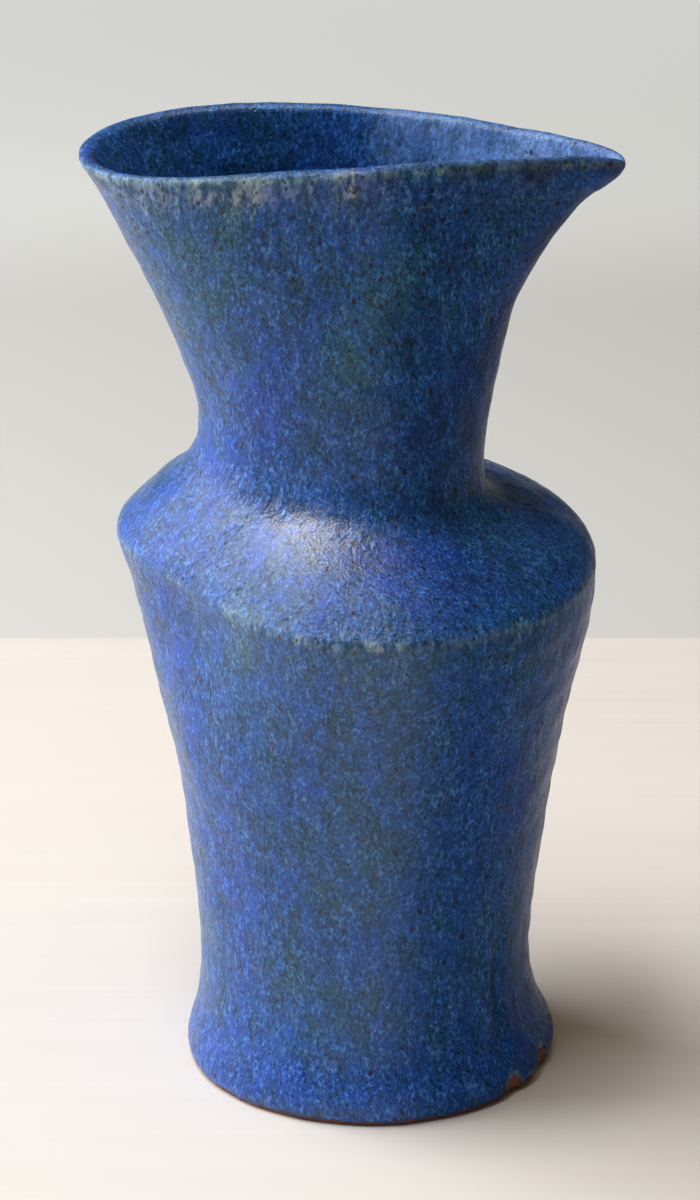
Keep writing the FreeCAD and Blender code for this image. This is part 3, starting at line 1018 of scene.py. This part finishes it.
def make_room():
    """The room's light: dim all round, brighter on the left, and from three lamps.

    The tall window on the left is the main one. The strip of skylight gives the highlight on the
    shoulder, and the weak warm fill lights the right side. The camera itself sees a plain wall.
    """
    world = bpy.data.worlds.new("room")
    world.use_nodes = True
    tree = world.node_tree
    around = tree.nodes.new("ShaderNodeTexCoord")
    parts = tree.nodes.new("ShaderNodeSeparateXYZ")
    tree.links.new(around.outputs["Generated"], parts.inputs["Vector"])
    strength = tree.nodes.new("ShaderNodeMapRange")
    for key, value in (("From Min", -1), ("From Max", 0.4), ("To Min", 0.34), ("To Max", 0.05)):
        strength.inputs[key].default_value = value
    tree.links.new(parts.outputs["X"], strength.inputs["Value"])
    dim = tree.nodes["Background"]
    dim.inputs["Color"].default_value = (1.0, 0.87, 0.70, 1)
    tree.links.new(strength.outputs["Result"], dim.inputs["Strength"])
    seen = tree.nodes.new("ShaderNodeBackground")
    seen.inputs["Color"].default_value = WALL
    choice = tree.nodes.new("ShaderNodeMixShader")
    rays = tree.nodes.new("ShaderNodeLightPath")
    tree.links.new(rays.outputs["Is Camera Ray"], choice.inputs[0])
    tree.links.new(dim.outputs[0], choice.inputs[1])
    tree.links.new(seen.outputs[0], choice.inputs[2])
    tree.links.new(choice.outputs[0], tree.nodes["World Output"].inputs["Surface"])
    bpy.context.scene.world = world
    daylight = (1.0, 0.985, 0.97)
    area_light("window", (-1.35, 0.26, 1.2), (0, 0, 0.35), 1.4, 2.0, 45, daylight)
    sky_colour = (1.0, 0.985, 0.96)
    area_light("skylight", (-0.30, -0.42, 2.0), (-0.30, -0.42, 0), 0.34, 1.0, 17.5, sky_colour)
    fill_colour = (1.0, 0.70, 0.34)
    area_light("warm_fill", (0.34, 0.02, 1.3), (0.34, 0.02, 0), 0.5, 0.5, 1.3, fill_colour)


def make_camera():
    """A long lens that looks down at the vase from the front."""
    lens = bpy.data.cameras.new("photo_view")
    lens.lens = 200
    lens.sensor_width = 36
    camera = bpy.data.objects.new("photo_view", lens)
    camera.location = CAMERA_PLACE
    camera.rotation_euler = (math.radians(90 - CAMERA_TILT), 0, 0)
    bpy.context.scene.collection.objects.link(camera)
    bpy.context.scene.camera = camera


# ---------------------------------------------------------------- assembly

def place_piece(piece, material, slot, *nodes):
    """Gives a piece its material, its body and the CAD nodes that it stands in for; slot is not used.
    """
    piece.data.materials.append(material)
    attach(piece, "root")
    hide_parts(*nodes)


outside_glaze = glaze_material("satin_blue_glaze", 1.0)
lining_glaze = glaze_material("satin_blue_lining", 1.1)
clay = clay_material()

for name, first, last in (
    ("body_glaze", ROW["foot"], UNDER_RIDGE),
    ("shoulder_glaze", UNDER_RIDGE, ROW["junction"]),
    ("neck_glaze", ROW["junction"], lip_band_out),
    ("lip_glaze", lip_band_out, lip_band_in),
):
    place_piece(glaze_piece(name, first, last), outside_glaze, "blue_glaze", "outer_glaze")

mouth_lining = glaze_piece("mouth_lining", lip_band_in, ROW["inner_junction"])
place_piece(mouth_lining, lining_glaze, "inside_glaze", "inner_glaze")
body_lining = glaze_piece("body_lining", ROW["inner_junction"], ROW["inner_end"], hub=True)
place_piece(body_lining, lining_glaze, "inside_glaze", "inner_glaze")

place_piece(foot_piece(), clay, "bare_clay", "foot_coil")
shoulder_out = (ROW["ridge"], ROW["junction"])
shoulder_in = (ROW["inner_junction"], ROW["inner_ridge"])
for name, node, outer_rows, inner_rows in (
    ("lower_clay", "lower_wall", (instep_out, body_out), (body_in, instep_in)),
    ("upper_clay", "upper_wall", (body_out, ROW["ridge"]), (ROW["inner_ridge"], body_in)),
    ("shoulder_clay", "shoulder_wall", shoulder_out, shoulder_in),
    ("neck_clay", "neck_wall", (ROW["junction"], neck_out), (neck_in, ROW["inner_junction"])),
    ("mouth_clay", "mouth_wall", (neck_out, coil_out), (coil_in, neck_in)),
):
    place_piece(clay_piece(name, outer_rows, inner_rows), clay, "bare_clay", node)
place_piece(rim_piece(), clay, "bare_clay", "rim_coil")

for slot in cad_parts["base_slab"].material_slots:
    slot.material = clay

make_stage()
make_camera()
bpy.context.scene.view_settings.view_transform = "Standard"
